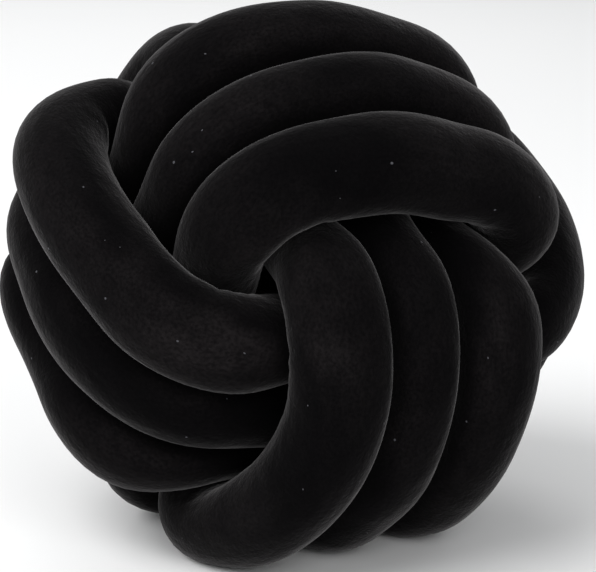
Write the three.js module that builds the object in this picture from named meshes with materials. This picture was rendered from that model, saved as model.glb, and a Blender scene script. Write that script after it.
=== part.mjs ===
// A knot pillow: one long stuffed velvet tube tied into a ball, in the knot that sailors call a
// monkey's fist. Three bands wrap the ball, each of three turns side by side. Each band passes
// over one neighbour and under the other, so the bands meet in a three-armed swirl at every
// corner of the ball. Millimetres, +Z up. The origin is on the surface that the pillow rests on,
// under the middle of its box.
import * as THREE from "three";

// ---- driving dimensions --------------------------------------------------------------------

const TUBE_WIDTH = 52; // the stuffed tube, measured across where nothing presses on it
const PRESSED_WIDTH = 43; // between the centres of two turns that the knot pulls together
const UNDER_REACH = 84; // from the ball's middle to the centre of a turn that dives under
const BACK_CORNER = 2.5; // how square a turn is on the far face: 2 is an ellipse
const SEAM_GAP = 1.8; // left between two turns where they press on each other
const REST_SAG = 7; // how far the ball's weight pushes its lowest turns up into it
const REST_FLAT = 3; // how much of their own width those turns lose against the floor
const GIRTH_SPREAD = 1.2; // the most that a pressed turn spreads sideways

const BEAD_STEP = 9.5; // between the points that carry the centre line while it settles
const SETTLE_ROUNDS = 120;
const RING_BEADS = 2; // beads from one cross-section of the tube to the next
const RING_SIDES = 12;

// ---- how the tube is tied --------------------------------------------------------------------

const X = new THREE.Vector3(1, 0, 0);
const Y = new THREE.Vector3(0, 1, 0);
const Z = new THREE.Vector3(0, 0, 1);

// Each band runs round the ball in the plane of "under" and "over": it dives under a neighbour
// on its two "under" sides and lies on top on its two "over" sides. Its turns lie beside each
// other along "side". They stand "rise" from the ball's middle on the face that shows, and
// "backRise" on the far face. "corner" is how square they are where they show: 2 is an ellipse,
// and more is squarer.
const BANDS = {
  top: { under: X, over: Z, side: Y, corner: 2.7, rise: 120, backRise: 115 },
  left: { under: Y, over: X, side: Z.clone().negate(), corner: 3.1, rise: 130, backRise: 130 },
  right: { under: Z, over: Y, side: X.clone().negate(), corner: 2.7, rise: 130, backRise: 120 },
};

// How the ball lies: tipped about its own X and then Y axis, and turned about the vertical.
const TIP_X = -33;
const TIP_Y = -3;
const TURN_Z = -152;
const RESTING = new THREE.Euler(
  THREE.MathUtils.degToRad(TIP_X),
  THREE.MathUtils.degToRad(TIP_Y),
  THREE.MathUtils.degToRad(TURN_Z),
  "ZYX",
);

// A band's turns lie a pressed width apart. On the face that shows, the knot pulls each turn a
// little out of line. Each row says how far: moved sideways by "shift", leaning sideways by
// "lean" for each millimetre along it, bowed sideways by "bow", stood further out by "lift" and
// slid along itself by "slide". They are set by eye, in steps of 5 mm, 4 mm for a bow and 0.05
// for a lean. The rows are in the order in which the tube makes the turns.
const PULLED = {
  top: [
    { shift: 0, lean: 0, bow: 8, lift: 5, slide: 20 },
    { shift: 0, lean: 0, bow: 8, lift: 0, slide: 10 },
    { shift: 5, lean: -0.1, bow: 8, lift: 0, slide: 5 },
  ],
  left: [
    { shift: 0, lean: 0, bow: 16, lift: 10, slide: -25 },
    { shift: 5, lean: -0.05, bow: 8, lift: 0, slide: -10 },
    { shift: 0, lean: 0, bow: -8, lift: -20, slide: 10 },
  ],
  right: [
    { shift: -5, lean: 0.25, bow: -4, lift: 10, slide: 0 },
    { shift: 0, lean: 0.1, bow: 0, lift: 0, slide: 0 },
    { shift: 0, lean: -0.05, bow: -12, lift: 0, slide: 5 },
  ],
};

// Inside the ball the tube starts, crosses from one band to the next twice, and ends.
const START = [
  { x: 48, y: -30, z: 14 },
  { x: 30, y: -12, z: 38 },
  { x: 2, y: -20, z: 30 },
  { x: -35, y: -35, z: 10 },
];
const TOP_TO_LEFT = [
  { x: -60, y: 40, z: -5 },
  { x: -20, y: 20, z: -15 },
  { x: 15, y: -20, z: 15 },
  { x: 22, y: -60, z: 38 },
];
const LEFT_TO_RIGHT = [
  { x: 45, y: -80, z: -38 },
  { x: -8, y: -65, z: -40 },
  { x: -20, y: -25, z: -35 },
  { x: 10, y: 10, z: -35 },
  { x: 40, y: 5, z: -65 },
];
const END = [
  { x: -40, y: -14, z: -70 },
  { x: -32, y: -22, z: -40 },
  { x: -10, y: 0, z: -5 },
  { x: 12, y: 28, z: 6 },
  { x: 38, y: 42, z: 24 },
];

// ---- the centre line -------------------------------------------------------------------------

const TURN_STEPS = 36; // points along one turn
const LEAD_PHASE = 0.4; // radians left free where a band's first turn starts and its last ends
const FACE_BLEND = 1 / 2; // share of a turn's height over which it passes from face to face
const CURVE_STEPS = 6; // points drawn between two neighbouring points of the route

const signedPower = (value, power) => Math.sign(value) * Math.abs(value) ** power;

// A band's turns, each with the place that it takes on both faces of the ball.
function bandTurns(name) {
  const { rise, backRise } = BANDS[name];
  return PULLED[name].map((turn, index) => {
    const backSide = (index - 1) * PRESSED_WIDTH;
    return { ...turn, side: backSide + turn.shift, rise: rise + turn.lift, backSide, backRise };
  });
}

// One point of a turn. The phase runs from 0 to a full circle: it starts on one under side,
// goes round the far face, the other under side and the face that shows, and comes back. There
// the last turn's arc passes over into the next turn's.
function turnPoint(band, turn, turnBefore, phase) {
  const { under, over, side, corner: shownCorner } = band;
  const shown = phase < Math.PI / 2 && turnBefore ? turnBefore : turn;
  const height = -Math.sin(phase);
  const front = THREE.MathUtils.smoothstep(height, -FACE_BLEND, FACE_BLEND);
  const corner = THREE.MathUtils.lerp(BACK_CORNER, shownCorner, front);
  const along =
    -UNDER_REACH * signedPower(Math.cos(phase), 2 / corner) +
    shown.slide * Math.max(height, 0) ** 2;
  const rise = (height > 0 ? shown.rise : turn.backRise) * signedPower(height, 2 / corner);
  const bow = shown.bow * (Math.cos(phase) ** 2 - 0.5);
  const sideways =
    (shown.side + shown.lean * along + bow) * front + turn.backSide * (1 - front);
  return new THREE.Vector3()
    .addScaledVector(under, along)
    .addScaledVector(over, rise)
    .addScaledVector(side, sideways);
}

// The turns of one band, as one run of points.
function bandPoints(name) {
  const turns = bandTurns(name);
  const points = [];
  turns.forEach((turn, index) => {
    const from = index === 0 ? LEAD_PHASE : 0;
    const to = index === turns.length - 1 ? 2 * Math.PI - LEAD_PHASE : 2 * Math.PI;
    const steps = TURN_STEPS - (index < turns.length - 1 ? 1 : 0);
    for (let step = 0; step <= steps; step++) {
      const phase = THREE.MathUtils.lerp(from, to, step / TURN_STEPS);
      points.push(turnPoint(BANDS[name], turn, turns[index - 1], phase));
    }
  });
  return points;
}

// The whole tube's route, tipped the way the ball lies. Each point is marked as held to its
// place in a band or free.
function tubeRoute() {
  const free = (list) => list.map(({ x, y, z }) => ({ at: new THREE.Vector3(x, y, z), held: 0 }));
  const held = (list) => list.map((at) => ({ at, held: 1 }));
  const route = [
    ...free(START),
    ...held(bandPoints("top")),
    ...free(TOP_TO_LEFT),
    ...held(bandPoints("left")),
    ...free(LEFT_TO_RIGHT),
    ...held(bandPoints("right")),
    ...free(END),
  ];
  route.forEach((point) => point.at.applyEuler(RESTING));
  return route;
}

// The same route as beads at an even step along a smooth curve.
function beadsAlong(route, step) {
  const curve = new THREE.CatmullRomCurve3(route.map((point) => point.at));
  const fine = curve.getPoints((route.length - 1) * CURVE_STEPS);
  const beads = [{ at: fine[0].clone(), held: 0 }];
  let walked = 0;
  for (let i = 1; i < fine.length; i++) {
    const length = fine[i].distanceTo(fine[i - 1]);
    while (walked + length >= step * beads.length) {
      const share = (step * beads.length - walked) / length;
      const before = Math.floor((i - 1) / CURVE_STEPS);
      const heldBoth = Math.min(route[before].held, route[before + 1].held);
      beads.push({ at: fine[i - 1].clone().lerp(fine[i], share), held: heldBoth });
    }
    walked += length;
  }
  return beads;
}

// ---- settling --------------------------------------------------------------------------------

const BEND_REACHES = [2, 1]; // beads to either side that a bend is measured over
const BEND_SHARE = 0.12; // how far a bead moves to straighten its bend in one round
const PUSH_SHARE = 0.25; // of an overlap, that each of the two beads gives way by
const PLACE_SHARE = 0.1; // how far it moves back to its place in the band
const OWN_BEADS = 7; // beads nearer than this along the tube don't press on each other

// The tube is laid along its route, and then pulled tight: turns that overlap push each other
// apart, bends ease, the beads keep their spacing, and the lowest turns flatten on the floor.
function settle(beads) {
  const places = beads.map((bead) => bead.at.clone());
  const lowest = Math.min(...beads.map((bead) => bead.at.z)) + REST_SAG;
  const gap = new THREE.Vector3();
  const middle = new THREE.Vector3();
  for (let round = 0; round < SETTLE_ROUNDS; round++) {
    for (const reach of BEND_REACHES) {
      for (let i = reach; i < beads.length - reach; i++) {
        middle.copy(beads[i - reach].at).add(beads[i + reach].at).multiplyScalar(0.5);
        beads[i].at.lerp(middle, BEND_SHARE);
      }
    }
    for (let i = 1; i < beads.length; i++) {
      gap.subVectors(beads[i].at, beads[i - 1].at);
      gap.multiplyScalar((1 - BEAD_STEP / gap.length()) / 2);
      beads[i - 1].at.add(gap);
      beads[i].at.sub(gap);
    }
    for (let i = 0; i < beads.length; i++) {
      for (let j = i + OWN_BEADS; j < beads.length; j++) {
        gap.subVectors(beads[j].at, beads[i].at);
        const squared = gap.lengthSq();
        if (squared >= PRESSED_WIDTH ** 2) continue;
        gap.multiplyScalar((PRESSED_WIDTH / Math.sqrt(squared) - 1) * PUSH_SHARE);
        beads[i].at.sub(gap);
        beads[j].at.add(gap);
      }
    }
    beads.forEach((bead, index) => {
      bead.at.lerp(places[index], PLACE_SHARE * bead.held);
      bead.at.z = Math.max(bead.at.z, lowest);
    });
  }
  return lowest - TUBE_WIDTH / 2 + REST_FLAT;
}

// ---- the skin --------------------------------------------------------------------------------

const NEXT_BEADS = 3; // beads this near along the tube don't bound a cross-section
const GIRTH = RING_SIDES * TUBE_WIDTH * Math.sin(Math.PI / RING_SIDES);
const GIRTH_TRIES = 12;

// How far the skin can reach in one direction before it meets a neighbour's. The wall between
// them is the plane half way, less half the seam's gap, and the nearest wall counts that the
// tube meets between the section before this one and the section after it.
function wallDistance(beads, index, direction) {
  const reach = TUBE_WIDTH * GIRTH_SPREAD + SEAM_GAP;
  const towards = new THREE.Vector3();
  let nearest = Infinity;
  for (let own = index - 1; own <= index + 1; own++) {
    beads.forEach((bead, other) => {
      if (Math.abs(other - own) < NEXT_BEADS) return;
      towards.subVectors(bead.at, beads[own].at);
      const apart = towards.length();
      const across = towards.dot(direction);
      if (apart > reach || across <= 0) return;
      nearest = Math.min(nearest, ((apart - SEAM_GAP) / 2) * (apart / across));
    });
  }
  return nearest;
}

// The tube's round end: how wide it is at a distance from its tip, as a share of its width.
function endShare(distance) {
  const inset = Math.max(0, 1 - distance / (TUBE_WIDTH / 2));
  return Math.sqrt(1 - inset ** 2);
}

// One cross-section: a circle, flattened where neighbours press on it. The cloth keeps its
// girth, so a section that is pressed spreads into whatever room is left.
function crossSection(beads, index, normal, tangent) {
  const binormal = new THREE.Vector3().crossVectors(tangent, normal);
  const directions = Array.from({ length: RING_SIDES }, (_, side) => {
    const angle = (2 * Math.PI * side) / RING_SIDES;
    return new THREE.Vector3()
      .addScaledVector(normal, Math.cos(angle))
      .addScaledVector(binormal, Math.sin(angle));
  });
  const walls = directions.map((direction) => wallDistance(beads, index, direction));
  const outline = (radius) =>
    directions.map((direction, side) =>
      beads[index].at.clone().addScaledVector(direction, Math.min(radius, walls[side])),
    );
  const girth = (points) =>
    points.reduce((sum, point, side) => sum + point.distanceTo(points.at(side - 1)), 0);
  let radius = TUBE_WIDTH / 2;
  for (let attempt = 0; attempt < GIRTH_TRIES; attempt++) {
    const wanted = radius * (GIRTH / girth(outline(radius)));
    radius = Math.min(wanted, (TUBE_WIDTH / 2) * GIRTH_SPREAD);
  }
  const step = Math.min(index, beads.length - 1 - index) * BEAD_STEP;
  return outline(radius * endShare(step));
}

// The beads that carry a cross-section: every second one, with one more by each round end.
function sectionBeads(count) {
  const last = count - 1;
  const list = [1];
  for (let index = RING_BEADS; index < last - 1; index += RING_BEADS) list.push(index);
  return [...list, last - 1];
}

// The closed skin round the settled centre line, flat where it meets the floor.
function tubeGeometry(beads, floor) {
  const stations = sectionBeads(beads.length);
  const tangent = new THREE.Vector3();
  const normal = new THREE.Vector3(0, 0, 1);
  const points = [beads[0].at.clone()];
  stations.forEach((index) => {
    tangent.subVectors(beads[index + 1].at, beads[index - 1].at).normalize();
    normal.addScaledVector(tangent, -normal.dot(tangent)).normalize();
    points.push(...crossSection(beads, index, normal, tangent));
  });
  points.push(beads.at(-1).at.clone());
  points.forEach((point) => {
    point.z = Math.max(point.z, floor);
  });

  const faces = [];
  const corner = (ring, side) => 1 + ring * RING_SIDES + (side % RING_SIDES);
  const tip = points.length - 1;
  const lastRing = stations.length - 1;
  for (let side = 0; side < RING_SIDES; side++) {
    faces.push(0, corner(0, side + 1), corner(0, side));
    faces.push(tip, corner(lastRing, side), corner(lastRing, side + 1));
    for (let ring = 0; ring < lastRing; ring++) {
      faces.push(corner(ring, side), corner(ring, side + 1), corner(ring + 1, side + 1));
      faces.push(corner(ring, side), corner(ring + 1, side + 1), corner(ring + 1, side));
    }
  }
  const geometry = new THREE.BufferGeometry().setFromPoints(points);
  geometry.setIndex(faces);
  geometry.computeVertexNormals();
  return geometry;
}

// ---- the pillow ------------------------------------------------------------------------------

const velvet = new THREE.MeshStandardMaterial({ color: 0x0d0c0e, roughness: 0.95, metalness: 0 });

// The geometry moved so that it stands on the origin, under the middle of its box.
function standOnOrigin(geometry) {
  geometry.computeBoundingBox();
  const box = geometry.boundingBox;
  const centre = box.getCenter(new THREE.Vector3());
  return geometry.translate(-centre.x, -centre.y, -box.min.z);
}

const beads = beadsAlong(tubeRoute(), BEAD_STEP);
const floor = settle(beads);
const pillow = new THREE.Mesh(standOnOrigin(tubeGeometry(beads, floor)), velvet);
pillow.name = "knotted_tube";

const part = new THREE.Group();
part.name = "knot_pillow";
part.add(pillow);

export default part;
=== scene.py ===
# %% [markdown]
# # Knot pillow
# The real pillow is one tube of black velvet, about seven metres long, stuffed with fibre and
# tied into a ball. The knot is a monkey's fist: three bands of three turns, each band over one
# neighbour and under the other. The tube's shape and its path through the knot are already
# right in the CAD solid, so this script keeps them. It gives the solid what a stuffed tube
# has: plump rounded turns that press on each other, soft folds, and a velvet pile.

# %% Load the frame
import collections
import math

import bmesh
import bpy
import numpy as np
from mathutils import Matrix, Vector


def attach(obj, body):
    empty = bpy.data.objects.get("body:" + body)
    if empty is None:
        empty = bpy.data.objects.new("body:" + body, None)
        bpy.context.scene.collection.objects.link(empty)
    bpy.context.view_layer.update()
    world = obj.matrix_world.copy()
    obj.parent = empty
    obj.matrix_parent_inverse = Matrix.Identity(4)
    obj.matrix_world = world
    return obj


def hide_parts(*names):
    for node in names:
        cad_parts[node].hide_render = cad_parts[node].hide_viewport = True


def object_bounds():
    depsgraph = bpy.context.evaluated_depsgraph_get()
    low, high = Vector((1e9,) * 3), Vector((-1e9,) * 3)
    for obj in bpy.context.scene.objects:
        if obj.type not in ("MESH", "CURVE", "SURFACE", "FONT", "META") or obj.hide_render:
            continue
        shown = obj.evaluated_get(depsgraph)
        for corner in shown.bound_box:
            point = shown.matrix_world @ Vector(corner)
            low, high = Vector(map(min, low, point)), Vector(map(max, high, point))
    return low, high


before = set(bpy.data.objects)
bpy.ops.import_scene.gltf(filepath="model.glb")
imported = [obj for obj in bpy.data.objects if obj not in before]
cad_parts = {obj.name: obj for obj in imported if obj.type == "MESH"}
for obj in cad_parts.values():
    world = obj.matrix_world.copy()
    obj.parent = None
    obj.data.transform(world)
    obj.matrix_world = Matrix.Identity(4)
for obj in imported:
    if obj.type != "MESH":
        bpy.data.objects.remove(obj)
cad_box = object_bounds()
print("CAD box, metres:", [[round(c, 4) for c in corner] for corner in cad_box])

# %% [markdown]
# ## From a solid to a skin of rings
# The solid's mesh is loose triangles. Its skin is really a row of rings, each with the same
# number of corners, from one end of the tube to the other. Remeshing it in voxels is the
# usual start for a soft piece, but here turns lie closer together than a voxel, and it would
# weld them. So the copy is merged, its rings are found again by walking from one tip, and the
# diagonals are dissolved. That leaves clean quads that run along the tube.

# %% Merge a copy of the solid's mesh
WELD = 2e-6  # metres between corners that are the same corner


def merged_skin(node):
    """The CAD node's loose triangles as one joined skin."""
    skin = bmesh.new()
    skin.from_mesh(node.data)
    bmesh.ops.remove_doubles(skin, verts=skin.verts, dist=WELD)
    return skin


skin = merged_skin(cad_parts["knotted_tube"])
print("merged skin:", len(skin.verts), "corners,", len(skin.faces), "triangles")

# %% Number the rings from one tip to the other
RING_SIDES = 12


def steps_from(tip):
    """How many edges each corner lies from the tip. One count is one ring."""
    steps = {tip: 0}
    queue = collections.deque([tip])
    while queue:
        corner = queue.popleft()
        for edge in corner.link_edges:
            beside = edge.other_vert(corner)
            if beside not in steps:
                steps[beside] = steps[corner] + 1
                queue.append(beside)
    return steps


tips = [corner for corner in skin.verts if len(corner.link_edges) == RING_SIDES]
ring_of = steps_from(tips[0])
print("tips:", len(tips), "rings:", max(ring_of.values()) - 1)


# %% Dissolve the diagonals
def is_diagonal(edge):
    """An edge between two rings is a diagonal if the triangle beside it that has two corners
    in the lower ring runs along it downwards."""
    low, high = sorted(edge.verts, key=ring_of.get)
    if ring_of[low] == ring_of[high] or ring_of[low] == 0 or high in tips:
        return False
    for loop in edge.link_loops:
        lower = [corner for corner in loop.face.verts if ring_of[corner] == ring_of[low]]
        if len(lower) == 2:
            return loop.vert is high
    return False


diagonals = [edge for edge in skin.edges if is_diagonal(edge)]
bmesh.ops.dissolve_edges(skin, edges=diagonals, use_verts=False)
corner_counts = collections.Counter(len(face.verts) for face in skin.faces)
print("corners of a face, after dissolving:", dict(corner_counts))

# %% [markdown]
# ## A map along the tube
# Cloth has a direction: velvet's pile lies along the tube, and folds run round it. So the skin
# gets a UV map in metres, u along the tube and v round it. Unwrapping would cut the tube into
# islands. Here the rings are already in order, so each corner's place follows from its ring
# and its side.


# %% Put each ring's corners in order
def next_round(corner, ring):
    """The next corner of the same ring. Faces on the ring's upper side all turn one way."""
    for loop in corner.link_loops:
        ahead = loop.link_loop_next.vert
        upper_side = max(ring_of[beside] for beside in loop.face.verts) > ring
        if ring_of[ahead] == ring and upper_side:
            return ahead
    return None


def rings_in_order():
    """The corners of each ring, all counted one way from the same side of the tube."""
    last = max(ring_of.values()) - 1
    first = next(corner for corner, ring in ring_of.items() if ring == 1)
    ordered = []
    for ring in range(1, last + 1):
        walk = [first]
        while len(walk) < RING_SIDES:
            walk.append(next_round(walk[-1], ring))
        ordered.append(walk)
        beside = [edge.other_vert(first) for edge in first.link_edges]
        first = next((corner for corner in beside if ring_of[corner] == ring + 1), None)
    return ordered


rings = rings_in_order()
print("rings in order:", len(rings), "corners in them:", len(set().union(*rings)))

# %% Lay the map
TUBE_WIDTH = 0.052
GIRTH = math.pi * TUBE_WIDTH
middles = np.array([sum((corner.co for corner in walk), Vector()) / RING_SIDES for walk in rings])
along = np.concatenate([[0], np.cumsum(np.linalg.norm(np.diff(middles, axis=0), axis=1))])


def lay_map():
    """Gives each face corner its place along the tube and round it, in metres."""
    place = {}
    for number, walk in enumerate(rings):
        for side, corner in enumerate(walk):
            place[corner] = (along[number], side)
    layer = skin.loops.layers.uv.new("Tube")
    for face in skin.faces:
        known = [place[corner] for corner in face.verts if corner in place]
        sides = [side for _, side in known]
        crosses_seam = max(sides) - min(sides) > RING_SIDES / 2
        for loop in face.loops:
            u, side = place.get(loop.vert, known[0])
            if crosses_seam and side < RING_SIDES / 2:
                side += RING_SIDES
            loop[layer].uv = (u, side / RING_SIDES * GIRTH)


lay_map()
print("tube length, metres:", round(along[-1] + TUBE_WIDTH, 2))

# %% [markdown]
# ## Round it
# A stuffed tube has no flat sides. A Subdivision Surface rounds the rings, but it also cuts
# off the corners, and the tube gets about 7 % thinner. So the corners are moved out first, by
# most of what the rounding would take, and the turns keep touching.


# %% Helpers to make, read and round a piece
def skin_object(name):
    """A new object that holds the skin, smooth shaded."""
    mesh = bpy.data.meshes.new(name)
    skin.to_mesh(mesh)
    skin.free()
    mesh.polygons.foreach_set("use_smooth", [True] * len(mesh.polygons))
    made = bpy.data.objects.new(name, mesh)
    bpy.context.scene.collection.objects.link(made)
    return made


def read(items, key, width):
    """A mesh's numbers as an array, such as the places of its corners."""
    values = np.empty(len(items) * width)
    items.foreach_get(key, values)
    return values.reshape(-1, width)


def corners_of(mesh):
    return read(mesh.vertices, "co", 3)


def subdivide(piece):
    """Applies one level of a Subdivision Surface modifier."""
    modifier = piece.modifiers.new("Round", "SUBSURF")
    modifier.levels = modifier.render_levels = 1
    graph = bpy.context.evaluated_depsgraph_get()
    mesh = bpy.data.meshes.new_from_object(piece.evaluated_get(graph), depsgraph=graph)
    piece.modifiers.remove(modifier)
    piece.data = mesh


# %% Make the pillow from the skin
ROUNDING_KEPT = 0.7  # share of the cut-off that is put back first


def round_through_corners(piece):
    """Subdivides, after moving the corners out by what rounding would cut off."""
    cage = piece.data.copy()
    corners = corners_of(cage)
    subdivide(piece)
    cut_off = corners - corners_of(piece.data)[: len(corners)]
    cage.vertices.foreach_set("co", (corners + cut_off * ROUNDING_KEPT).ravel())
    piece.data = cage
    subdivide(piece)
    return np.linalg.norm(cut_off, axis=1).mean()


pillow = skin_object("knot_tube_velvet")
cut_off = round_through_corners(pillow)
print("rounded:", len(pillow.data.polygons), "faces, rounding cuts off mm:", round(cut_off * 1000, 2))

# %% [markdown]
# ## Stuff it
# Fibre stuffing pushes the velvet out evenly, until it is tight or meets the next turn. That
# can be sculpted, but Blender's Cloth does it for the whole knot at once: a pressure inside,
# no gravity, and self-collision, so the turns flatten where they press on each other. Every
# corner's movement is capped, so the pillow stays its own size, and none sinks into the floor.

# %% Blow the tube up
SWELL_CAP = 0.009  # metres that a corner may move
SWELL_FRAMES = 20


def add_stuffing(piece):
    """A Cloth modifier that swells the piece like a full cushion."""
    cloth = piece.modifiers.new("Stuffing", "CLOTH")
    settings = cloth.settings
    settings.quality = 6
    settings.mass = 0.3
    settings.tension_stiffness = settings.compression_stiffness = 15
    settings.shear_stiffness = 5
    settings.bending_stiffness = 0.5
    settings.use_pressure = True
    settings.uniform_pressure_force = 8
    settings.shrink_min = -0.006
    settings.effector_weights.gravity = 0
    cloth.collision_settings.use_collision = False
    cloth.collision_settings.use_self_collision = True
    cloth.collision_settings.self_distance_min = 0.001
    cloth.point_cache.frame_start = 1
    cloth.point_cache.frame_end = SWELL_FRAMES
    return cloth


def stuff(piece):
    """Runs the cloth, and moves each corner by its capped swell."""
    before = corners_of(piece.data)
    cloth = add_stuffing(piece)
    for number in range(1, SWELL_FRAMES + 1):
        bpy.context.scene.frame_set(number)
    graph = bpy.context.evaluated_depsgraph_get()
    swell = corners_of(piece.evaluated_get(graph).data) - before
    piece.modifiers.remove(cloth)
    bpy.context.scene.frame_set(1)
    moved = np.linalg.norm(swell, axis=1)
    after = before + swell * np.minimum(1, SWELL_CAP / np.maximum(moved, 1e-9))[:, None]
    after[:, 2] = np.maximum(after[:, 2], 0)
    piece.data.vertices.foreach_set("co", after.ravel())
    print("swell, mm: mean", round(moved.mean() * 1000, 2), "most", round(moved.max() * 1000, 2))


stuff(pillow)
subdivide(pillow)
print("stuffed:", len(pillow.data.polygons), "faces")

# %% [markdown]
# ## Soft folds
# Where a stuffed tube bends hard, the cloth on its inner side has to go somewhere: it buckles
# into a few low folds, while the outer side stays smooth. The cloth run is too coarse to find
# them. Bump would leave the outline untouched, so the surface itself is moved, by a slow wave
# that follows the bend of the tube.

# %% Where the tube bends
RINGS_APART = 3  # a bend is measured over this many rings to either side
TIGHT_BEND, EASY_BEND = 0.050, 0.110  # radii, metres: folds at their deepest, and none


def bends():
    """For each ring an arrow to the inside of its bend, 1 long where the bend is tight."""
    here = middles[RINGS_APART:-RINGS_APART]
    behind, ahead = middles[: -2 * RINGS_APART], middles[2 * RINGS_APART :]
    arrow = (behind + ahead) / 2 - here
    height = np.linalg.norm(arrow, axis=1, keepdims=True)
    half_chord = np.linalg.norm(ahead - behind, axis=1, keepdims=True) / 2
    curvature = 2 * height / (half_chord**2 + height**2)
    tightness = (curvature - 1 / EASY_BEND) / (1 / TIGHT_BEND - 1 / EASY_BEND)
    inside = np.zeros_like(middles)
    inside[RINGS_APART:-RINGS_APART] = arrow / height * np.clip(tightness, 0, 1)
    return inside


inside = bends()
folding = int((np.abs(inside).sum(axis=1) > 0).sum())
print("rings that bend enough to fold:", folding, "of", len(rings))


# %% Where each corner of the pillow lies on the tube
def tube_places(mesh):
    """Each corner's place along the tube and round it, from the map."""
    corner_of_loop = read(mesh.loops, "vertex_index", 1).astype(int).ravel()
    places = np.empty((len(mesh.vertices), 2))
    places[corner_of_loop] = read(mesh.uv_layers["Tube"].data, "uv", 2)
    return places


places = tube_places(pillow.data)
print("places along the tube, metres:", places[:, 0].min().round(3), "to", places[:, 0].max().round(3))

# %% Move the surface into folds
PUCKER_DEPTH = 0.0014
PUCKER_APART = 0.019  # from one fold to the next, on average
PUCKER_DRIFT = 0.11  # metres over which the spacing changes


def puckers(outward):
    """Low folds across the inner side of each bend: how far each corner moves."""
    towards = np.column_stack([np.interp(places[:, 0], along, inside[:, axis]) for axis in range(3)])
    inner_side = np.clip((outward * towards).sum(axis=1), 0, 1)
    count = places[:, 0] / PUCKER_APART + np.sin(places[:, 0] / PUCKER_DRIFT * math.tau)
    return PUCKER_DEPTH * inner_side * np.sin(count * math.tau)


def fold(piece):
    """Moves each corner straight out or in, and never below the floor."""
    outward = read(piece.data.vertices, "normal", 3)
    rise = puckers(outward)
    after = corners_of(piece.data) + outward * rise[:, None]
    after[:, 2] = np.maximum(after[:, 2], 0)
    piece.data.vertices.foreach_set("co", after.ravel())
    print("folds, mm: highest", round(rise.max() * 1000, 2), "deepest", round(rise.min() * 1000, 2))


fold(pillow)

# %% [markdown]
# ## Painted shade in the creases
# The pile's colour is painted darker down in the creases, as painted shade, and lighter on the
# crowns of the turns. How far each corner stands from the middle of the ball says which it is,
# and an attribute carries that to the material.

# %% How proud each corner stands
CREASE, CROWN = 0.80, 1.0  # shares of the ball's usual reach: painted shade darkest, and none
USUAL_SHARE = 0.9  # of the corners lie within the usual reach


def mark_shade_by_reach(mesh):
    """An attribute for painted shade, from 0 in the creases to 1 on the crowns."""
    corners = corners_of(mesh)
    reach = np.linalg.norm(corners - corners.mean(axis=0), axis=1)
    usual = np.quantile(reach, USUAL_SHARE)
    shade_by_reach = np.clip((reach / usual - CREASE) / (CROWN - CREASE), 0, 1)
    mesh.attributes.new("ShadeByReach", "FLOAT", "POINT").data.foreach_set("value", shade_by_reach)
    print("usual reach, mm:", round(usual * 1000, 1))
    print("share rubbed most:", round((shade_by_reach == 1).mean(), 2))


mark_shade_by_reach(pillow.data)

# %% [markdown]
# ## Black velvet
# Velvet is a pile: millions of short fibres that stand on the cloth. Looked at from above they
# trap the light, so black velvet is far darker than black paint. Along an edge the fibres'
# sides catch it, and a thin pale rim shows. Real hair would need millions of strands, so the
# Principled shader's sheen stands for the fibres' sides, over a very dark base with almost no
# gloss. Nodes add what a close look finds: pile brushed one way or the other, the grain of the
# tufts, a little lint. They also paint shade into the creases and a highlight near the front swirl.

# %% Start the velvet
velvet = bpy.data.materials.new("black_velvet")
velvet.use_nodes = True
velvet_shader = velvet.node_tree.nodes["Principled BSDF"]
velvet_shader.inputs["Roughness"].default_value = 0.95
velvet_shader.inputs["Specular IOR Level"].default_value = 0.02
velvet_shader.inputs["Sheen Weight"].default_value = 0.19
velvet_shader.inputs["Sheen Roughness"].default_value = 0.32
velvet_shader.inputs["Sheen Tint"].default_value = (1.0, 0.97, 0.98, 1)


def add_node(kind, label, inputs):
    """A node in the velvet. Each input is given a value, or another node's output."""
    made = velvet.node_tree.nodes.new(kind)
    made.label = label
    for name, value in inputs.items():
        if isinstance(value, bpy.types.NodeSocket):
            velvet.node_tree.links.new(value, made.inputs[name])
        else:
            made.inputs[name].default_value = value
    return made


def maths(operation, *values):
    """The result of one sum, such as MULTIPLY, of numbers or other nodes' outputs."""
    made = add_node("ShaderNodeMath", operation.title(), dict(enumerate(values)))
    made.operation = operation
    return made.outputs[0]


def rescaled(value, low, high, least, most):
    """Takes a value that runs from low to high to one that runs from least to most."""
    span = {"Value": value, "From Min": low, "From Max": high, "To Min": least, "To Max": most}
    return add_node("ShaderNodeMapRange", "Rescaled", span).outputs["Result"]


print("sheen weight:", round(velvet_shader.inputs["Sheen Weight"].default_value, 2))

# %% [markdown]
# ## Patterns that follow the tube
# Pile patterns have to bend with the tube, so they can't use plain Object coordinates. The map
# has a side where its end meets its start, and a pattern drawn straight on it would show a
# join there. Rolled back into a straight tube, in metres, the map has no such join, and 3-D
# noise fits it.


# %% Roll up the map
def straight_tube(along_tube, round_tube):
    """Where a place on the map lies on a straight tube."""
    radius = TUBE_WIDTH / 2
    angle = maths("DIVIDE", round_tube, radius)
    across = maths("MULTIPLY", maths("COSINE", angle), radius)
    upwards = maths("MULTIPLY", maths("SINE", angle), radius)
    rolled = {"X": along_tube, "Y": across, "Z": upwards}
    return add_node("ShaderNodeCombineXYZ", "Straight tube", rolled).outputs["Vector"]


tube_map = add_node("ShaderNodeUVMap", "Map along the tube", {})
tube_map.uv_map = "Tube"
on_map = add_node("ShaderNodeSeparateXYZ", "Along and round", {"Vector": tube_map.outputs["UV"]})
tube_place = straight_tube(on_map.outputs["X"], on_map.outputs["Y"])


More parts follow.
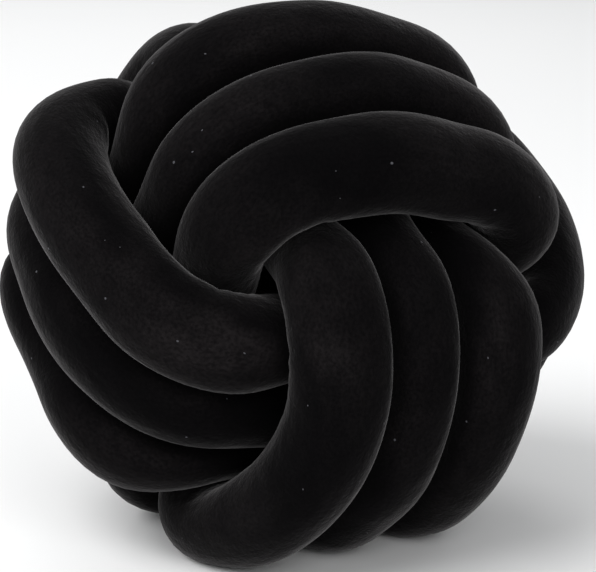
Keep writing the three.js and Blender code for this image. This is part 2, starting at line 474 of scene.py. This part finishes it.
# %% Noise and specks on the tube
def drawn_out(stretch, turn=(0, 0, 0)):
    """The place on the tube, with patterns stretched along it and then turned."""
    values = {"Vector": tube_place, "Scale": (stretch, 1, 1), "Rotation": turn}
    made = add_node("ShaderNodeMapping", "Drawn out", values)
    made.vector_type = "TEXTURE"
    return made.outputs["Vector"]


def cloudy(size, stretch=1, detail=2, twist=0):
    """Soft noise with features of this size in metres."""
    values = {"Vector": drawn_out(stretch), "Scale": 1 / size, "Detail": detail, "Distortion": twist}
    return add_node("ShaderNodeTexNoise", "Cloudy", values).outputs["Fac"]


def specks(apart, radius, share, stretch=1, turn=(0, 0, 0)):
    """1 on specks of this radius that lie about this far apart, in this share of the places."""
    values = {"Vector": drawn_out(stretch, turn), "Scale": 1 / apart}
    spots = add_node("ShaderNodeTexVoronoi", "Specks", values)
    chance = add_node("ShaderNodeSeparateColor", "Chance", {"Color": spots.outputs["Color"]})
    chosen = maths("LESS_THAN", chance.outputs["Red"], share)
    return maths("MULTIPLY", maths("LESS_THAN", spots.outputs["Distance"], radius / apart), chosen)


print("nodes so far:", len(velvet.node_tree.nodes))

# %% [markdown]
# ## Brushed pile, painted shade and a painted highlight
# A hand that strokes velvet leaves the fibres lying, and lying fibres look lighter or darker
# than standing ones. It could be painted by hand, but a rule is shorter and can be changed.
# Wide noise says where a hand has passed, and it is made darker down in the creases than on
# the crowns of the turns, as painted shade. Near the front swirl, where the three bands meet,
# the pile's colour is painted lighter, as a painted highlight.

# %% Where the pile is stroked, with painted shade and a painted highlight
SWIRL_LEFT = 0.02  # metres that the swirl sits to the left of the pillow's middle
SWIRL_HEART, SWIRL_FADED = 0.025, 0.078  # metres from it: painted highlight at its brightest, and none
STROKE, SWIRL_HIGHLIGHT_PATCH = 0.045, 0.028  # metres, of the strokes everywhere and of the painted highlight's patches at the swirl
middle = Vector((0, 0, (cad_box[0][2] + cad_box[1][2]) / 2))
swirl = Vector((-SWIRL_LEFT, cad_box[0][1], middle.z))

shade_by_reach = add_node("ShaderNodeAttribute", "ShadeByReach", {})
shade_by_reach.attribute_name = "ShadeByReach"
strokes_and_shade = rescaled(cloudy(STROKE, stretch=2.0, twist=0.4), 0.42, 0.72, 0.08, 0.45)
# painted shade: the strokes are made darker in the creases than on the crowns
strokes_and_shade = maths("MULTIPLY", strokes_and_shade, rescaled(shade_by_reach.outputs["Fac"], 0, 1, 0.4, 1.0))

own_place = add_node("ShaderNodeTexCoord", "Own place", {}).outputs["Object"]
from_swirl = add_node("ShaderNodeVectorMath", "From the swirl", {0: own_place, 1: swirl})
from_swirl.operation = "DISTANCE"
# painted highlight: the pile's colour is made lighter near the front swirl, in patches
highlight_falloff = rescaled(from_swirl.outputs["Value"], SWIRL_HEART, SWIRL_FADED, 0.6, 0)
swirl_highlight = maths("MULTIPLY", highlight_falloff, rescaled(cloudy(SWIRL_HIGHLIGHT_PATCH, stretch=1.6), 0.40, 0.62, 0.1, 1.0))
strokes_shade_and_highlight = maths("ADD", strokes_and_shade, swirl_highlight)
print("swirl, metres:", [round(c, 3) for c in swirl])

# %% [markdown]
# ## Tufts
# Close up, the pile is not one tone but tiny tufts, some tipped to the light and some away. Two
# finer noises stand for them: one a fingertip wide, and one as fine as the tufts.

# %% How light the pile is
FINGERTIP, TUFT = 0.009, 0.0015  # metres

handled = rescaled(cloudy(FINGERTIP, stretch=1.4), 0.30, 0.70, 0.75, 1.25)
tufts = rescaled(cloudy(TUFT, detail=3), 0.34, 0.68, 0.55, 1.45)
lightness = maths("MULTIPLY", strokes_shade_and_highlight, maths("MULTIPLY", handled, tufts))
print("nodes with tufts:", len(velvet.node_tree.nodes))

# %% [markdown]
# ## Lint, and the colours
# Black velvet shows every speck of dust. A painted texture would repeat, so Voronoi cells
# scatter it: round specks, and longer hairs that lie across the tube at two slants. One colour
# ramp then turns dark pile, brushed pile with painted shade and a painted highlight, and lint into
# colours.

# %% Lint and colour
PILE_DARK = (0.0010, 0.0009, 0.0011, 1)
# the lightest pile colour: brushed pile, the lit crowns and the painted highlight near the swirl
PILE_BRUSHED_AND_LIT = (0.0098, 0.0085, 0.0089, 1)
LINT = (0.060, 0.060, 0.066, 1)
FULLY_BRUSHED_AND_LIT = 0.6  # the place on the colour ramp of brushed pile, lit crowns and painted highlight

dust = specks(0.012, 0.0006, 0.30)
hairs = specks(0.008, 0.0003, 0.25, stretch=6, turn=(0, 0.5, 0.9))
more_hairs = specks(0.009, 0.0003, 0.25, stretch=5, turn=(0, -0.7, -0.4))
lint = maths("MAXIMUM", dust, maths("MAXIMUM", hairs, more_hairs))
brushed_and_lit = maths("MINIMUM", maths("MULTIPLY", lightness, FULLY_BRUSHED_AND_LIT), FULLY_BRUSHED_AND_LIT)

colours = add_node("ShaderNodeValToRGB", "Pile colours", {"Fac": maths("MAXIMUM", brushed_and_lit, lint)})
colours.color_ramp.elements[0].color = PILE_DARK
colours.color_ramp.elements[1].color = LINT
colours.color_ramp.elements.new(FULLY_BRUSHED_AND_LIT).color = PILE_BRUSHED_AND_LIT
velvet.node_tree.links.new(colours.outputs["Color"], velvet_shader.inputs["Base Color"])
print("pile colours:", [round(stop.position, 2) for stop in colours.color_ramp.elements])

# %% [markdown]
# ## Depth of the pile
# The pile stands a millimetre or two high and lies in soft waves. Moving the mesh that finely
# would need millions of faces. Bump turns the light as if the surface rose and fell: waves a
# fingertip wide, crushed spots, and the grain of the tufts.


# %% Depth of the pile
def bumped(height, depth, below=None):
    """Normals of a surface that rises by depth, in metres, where height goes from 0 to 1."""
    values = {"Height": height, "Distance": depth}
    if below:
        values["Normal"] = below
    return add_node("ShaderNodeBump", "Pile", values).outputs["Normal"]


WAVE_DEPTH, CRUSH_DEPTH, GRAIN_DEPTH = 0.0010, 0.0004, 0.0003  # metres

waves = bumped(cloudy(0.012, stretch=1.6), WAVE_DEPTH)
crushed = bumped(cloudy(0.005, stretch=1.3, detail=3), CRUSH_DEPTH, waves)
grain = bumped(cloudy(0.0016, detail=3), GRAIN_DEPTH, crushed)
velvet.node_tree.links.new(grain, velvet_shader.inputs["Normal"])
pillow.data.materials.clear()
pillow.data.materials.append(velvet)
print("velvet nodes:", len(velvet.node_tree.nodes))

# %% [markdown]
# ## Into the frame
# The pillow has no moving part, so the one new piece rides on the one body. It stands for the
# CAD solid, which is hidden here and stays as what the pillow weighs and rests on.

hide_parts("knotted_tube")
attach(pillow, "root")
print("pillow triangles:", sum(len(face.vertices) - 2 for face in pillow.data.polygons))

# %% [markdown]
# ## Floor
# Black velvet needs a pale room: its rims are only as bright as what stands behind them. A plain
# white sheet, far wider than the view, is floor and background at once.

# %% Floor
FLOOR_REACH = 6
WHITE_PAINT = (0.87, 0.87, 0.87, 1)


def white_floor():
    """A flat matt sheet, centred under the pillow."""
    sheet = bmesh.new()
    bmesh.ops.create_grid(sheet, x_segments=1, y_segments=1, size=FLOOR_REACH)
    mesh = bpy.data.meshes.new("floor")
    sheet.to_mesh(mesh)
    sheet.free()
    paint = bpy.data.materials.new("white_paint")
    paint.use_nodes = True
    painted = paint.node_tree.nodes["Principled BSDF"]
    painted.inputs["Base Color"].default_value = WHITE_PAINT
    painted.inputs["Roughness"].default_value = 0.7
    mesh.materials.append(paint)
    made = bpy.data.objects.new("floor", mesh)
    bpy.context.scene.collection.objects.link(made)
    return made


floor = white_floor()
print("floor, metres:", [round(c, 1) for c in floor.dimensions])

# %% [markdown]
# ## Light
# A product shot of a black thing uses big soft lamps. One very large lamp on the left is soft
# enough to leave no hard shadow. A second lights the floor far behind, and a weak one lifts the
# floor in front on the right. The room itself adds an even glow.


# %% Light
def room_light(colour, strength):
    """The same soft light from every side."""
    world = bpy.data.worlds.new("studio")
    world.use_nodes = True
    world.node_tree.nodes["Background"].inputs["Color"].default_value = colour
    world.node_tree.nodes["Background"].inputs["Strength"].default_value = strength
    bpy.context.scene.world = world


def round_lamp(name, place, aim, width, watts):
    """A round lamp that faces the place it is aimed at."""
    light = bpy.data.lights.new(name, "AREA")
    light.shape = "DISK"
    light.size = width
    light.energy = watts
    lamp = bpy.data.objects.new(name, light)
    lamp.location = place
    lamp.rotation_euler = (Vector(aim) - Vector(place)).to_track_quat("-Z", "Y").to_euler()
    bpy.context.scene.collection.objects.link(lamp)
    print(name, "lamp:", watts, "watts,", width, "metres wide")


room_light((0.94, 0.95, 0.96, 1), 0.53)
round_lamp("key", (-2.4, -1.5, 3.2), middle, 4.0, 165)
round_lamp("backdrop", (-0.8, 3.2, 3.0), (-0.4, 2.8, 0), 2.5, 38)
round_lamp("front_fill", (1.2, -2.4, 1.6), (0.4, -0.4, 0), 2.0, 34)

# %% [markdown]
# ## Camera
# It looks a little down on the pillow, which is close by, through a long lens for a flat view.

# %% Camera
LOOKS_DOWN = math.radians(13)
FROM_THE_RIGHT = math.radians(1)
DISTANCE = 1.12
AIM = middle + Vector((0.004, 0, -0.014))


def look():
    """Makes the camera, aimed and in use."""
    lens = bpy.data.cameras.new("camera")
    lens.lens = 120
    camera = bpy.data.objects.new("camera", lens)
    level = math.cos(LOOKS_DOWN)
    sideways, forwards = math.sin(FROM_THE_RIGHT) * level, math.cos(FROM_THE_RIGHT) * level
    back = Vector((sideways, -forwards, math.sin(LOOKS_DOWN)))
    camera.location = AIM + back * DISTANCE
    camera.rotation_euler = (-back).to_track_quat("-Z", "Y").to_euler()
    bpy.context.scene.collection.objects.link(camera)
    bpy.context.scene.camera = camera
    print("camera at", [round(c, 3) for c in camera.location])


look()
bpy.context.scene.view_settings.view_transform = "Standard"
